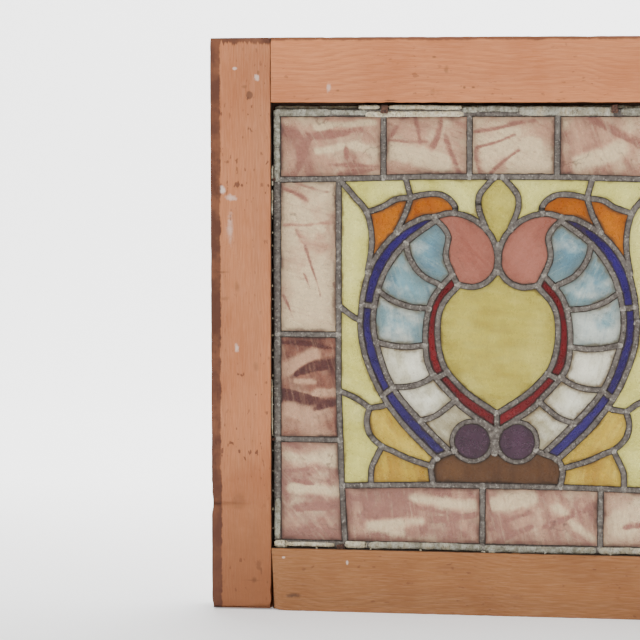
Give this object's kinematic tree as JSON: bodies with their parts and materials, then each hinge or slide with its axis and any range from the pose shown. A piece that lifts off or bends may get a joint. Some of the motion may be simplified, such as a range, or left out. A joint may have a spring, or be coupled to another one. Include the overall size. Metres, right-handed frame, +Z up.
{
  "type": "leaded stained glass window",
  "caption": "Small leaded stained-glass window with a heart-and-scroll pattern in a weathered pine sash with old putty.",
  "frame": {"origin": "middle of the sash's bottom edge, halfway through its thickness", "axes": "+X to the right seen from the puttied front, +Y out of the back, +Z up"},
  "size_m": [0.578, 0.035, 0.58],
  "materials": {
    "pine": "bare weathered pine, with remains of an old dark finish",
    "lead": null,
    "putty": "old hard linseed putty, cream and brown",
    "mauve_glass": "streaky pinkish mauve, lightly rippled",
    "plum_glass": "streaky brown-plum",
    "straw_glass": "pale straw cathedral glass",
    "orange_glass": "orange opalescent",
    "cobalt_glass": "deep cobalt",
    "sky_opal_glass": "blue-grey streaky opal",
    "cream_opal_glass": "cream streaky opal",
    "ruby_glass": "dark ruby",
    "olive_glass": "olive-gold streaky",
    "salmon_glass": "dense salmon-pink opal",
    "grape_glass": "dark purple-brown",
    "amber_glass": "amber streaky",
    "umber_glass": "dense brown"
  },
  "bodies": {
    "root": {"glass_amber_lower_left": "amber_glass", "glass_amber_lower_right": "amber_glass", "glass_amber_upper_left": "amber_glass", "glass_amber_upper_right": "amber_glass", "glass_border_bottom_1": "mauve_glass", "glass_border_bottom_2": "mauve_glass", "glass_border_bottom_3": "mauve_glass", "glass_border_left_1": "mauve_glass", "glass_border_left_2": "plum_glass", "glass_border_left_3": "mauve_glass", "glass_border_right_1": "mauve_glass", "glass_border_right_2": "mauve_glass", "glass_border_right_3": "mauve_glass", "glass_border_top_1": "mauve_glass", "glass_border_top_2": "mauve_glass", "glass_border_top_3": "mauve_glass", "glass_border_top_4": "mauve_glass", "glass_brown_base": "umber_glass", "glass_cobalt_strip_left": "cobalt_glass", "glass_cobalt_strip_right": "cobalt_glass", "glass_crescent_1_left": "sky_opal_glass", "glass_crescent_1_right": "sky_opal_glass", "glass_crescent_2_left": "sky_opal_glass", "glass_crescent_2_right": "sky_opal_glass", "glass_crescent_3_left": "sky_opal_glass", "glass_crescent_3_right": "sky_opal_glass", "glass_crescent_4_left": "cream_opal_glass", "glass_crescent_4_right": "cream_opal_glass", "glass_crescent_5_left": "cream_opal_glass", "glass_crescent_5_right": "cream_opal_glass", "glass_crescent_6_left": "cream_opal_glass", "glass_crescent_6_right": "cream_opal_glass", "glass_gold_drop": "olive_glass", "glass_ground_side_lower_left": "straw_glass", "glass_ground_side_lower_right": "straw_glass", "glass_ground_side_middle_left": "straw_glass", "glass_ground_side_middle_right": "straw_glass", "glass_ground_side_upper_left": "straw_glass", "glass_ground_side_upper_right": "straw_glass", "glass_ground_top_inner_left": "straw_glass", "glass_ground_top_inner_right": "straw_glass", "glass_ground_top_outer_left": "straw_glass", "glass_ground_top_outer_right": "straw_glass", "glass_heart": "olive_glass", "glass_petal_inner_left": "orange_glass", "glass_petal_inner_right": "orange_glass", "glass_petal_outer_left": "orange_glass", "glass_petal_outer_right": "orange_glass", "glass_roundel_left": "grape_glass", "glass_roundel_right": "grape_glass", "glass_ruby_strip_left": "ruby_glass", "glass_ruby_strip_right": "ruby_glass", "glass_scroll_left": "salmon_glass", "glass_scroll_right": "salmon_glass", "lead_cames": "lead", "putty": "putty", "rail_bottom": "pine", "rail_top": "pine", "stile_left": "pine", "stile_right": "pine"}
  },
  "joints": []
}
